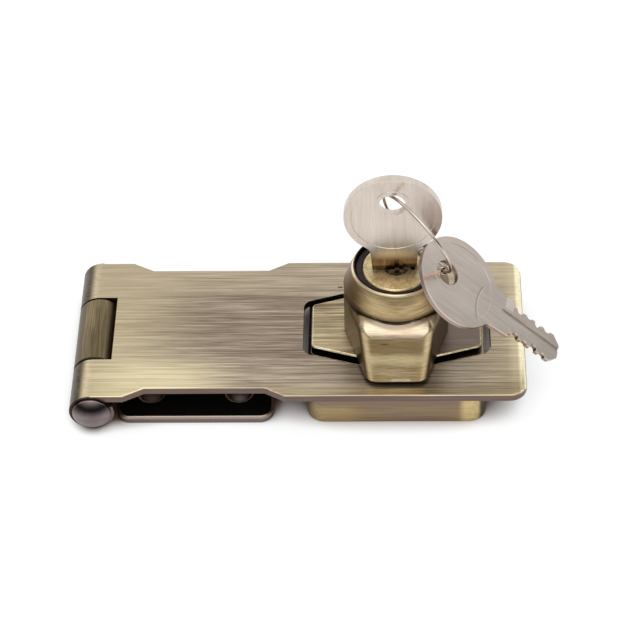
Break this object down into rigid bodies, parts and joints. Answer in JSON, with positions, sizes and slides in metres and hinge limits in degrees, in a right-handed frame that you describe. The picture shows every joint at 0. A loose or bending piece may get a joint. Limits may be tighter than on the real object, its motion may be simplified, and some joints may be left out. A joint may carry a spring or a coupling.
{
  "type": "twist-knob locking hasp",
  "caption": "Hinged locking hasp in brushed antique brass with a keyed twist knob, a slotted strap over a screw-fixed lock base, and keys on a wire ring.",
  "frame": {"origin": "on the knob's axis, at the mounting plane", "axes": "+X from the hinge to the strap's free end, +Y across the strap, +Z away from the mounting plane along the knob's axis"},
  "size_m": [0.1088, 0.0478, 0.0551],
  "materials": {
    "brushed_brass": "antique brass plate, brushed along the strap, lacquered",
    "dark_brass": "dark antique brass plate",
    "plug_brass": "plain brass, finely cast face",
    "wafer_brass": "stamped brass",
    "dark_metal": "dark zinc casting",
    "spring_steel": "spring steel",
    "key_nickel": "nickel plated, fine brushed faces",
    "ring_steel": "bright nickel plated wire"
  },
  "bodies": {
    "leaf": {"hinge_leaf": "dark_brass", "hinge_pin": "dark_brass"},
    "strap": {"hinge_strap": "brushed_brass", "lock_base": "brushed_brass"},
    "knob": {"knob": "brushed_brass", "cylinder_shell": "dark_metal", "spring_washer": "spring_steel", "stop_washer": "spring_steel", "retaining_clip": "spring_steel"},
    "plug": {"plug": "plug_brass", "wafer_1": "wafer_brass", "wafer_2": "wafer_brass", "wafer_3": "wafer_brass", "wafer_4": "wafer_brass", "wafer_5": "wafer_brass", "wafer_springs": "spring_steel", "cam_disc": "dark_metal", "cam_screw": "spring_steel"},
    "bolt": {"locking_bolt": "dark_metal"},
    "key": {"key": "key_nickel", "spare_key": "key_nickel", "key_ring": "ring_steel"}
  },
  "joints": [
    {"name": "strap_swing", "type": "hinge", "parent": "leaf", "child": "strap", "pos_m": [-0.0678, 0, 0.005], "axis": [0, -1, 0], "range_deg": [0, 140]},
    {"name": "knob_turn", "type": "hinge", "parent": "strap", "child": "knob", "pos_m": [0, 0, 0], "axis": [0, 0, 1], "range_deg": [0, 90]},
    {"name": "plug_turn", "type": "hinge", "parent": "knob", "child": "plug", "pos_m": [0, 0, 0], "axis": [0, 0, -1], "range_deg": [0, 90]},
    {"name": "bolt_slide", "type": "slide", "parent": "knob", "child": "bolt", "axis": [1, 0, 0], "range_m": [0, 0.002]},
    {"name": "key_slide", "type": "slide", "parent": "plug", "child": "key", "axis": [-0.0244, 0, 0.9997], "range_m": [0, 0.016]}
  ],
  "couplings": [
    {"joint": "bolt_slide", "follows": "plug_turn", "m_per_rad": 0.0012732}
  ]
}
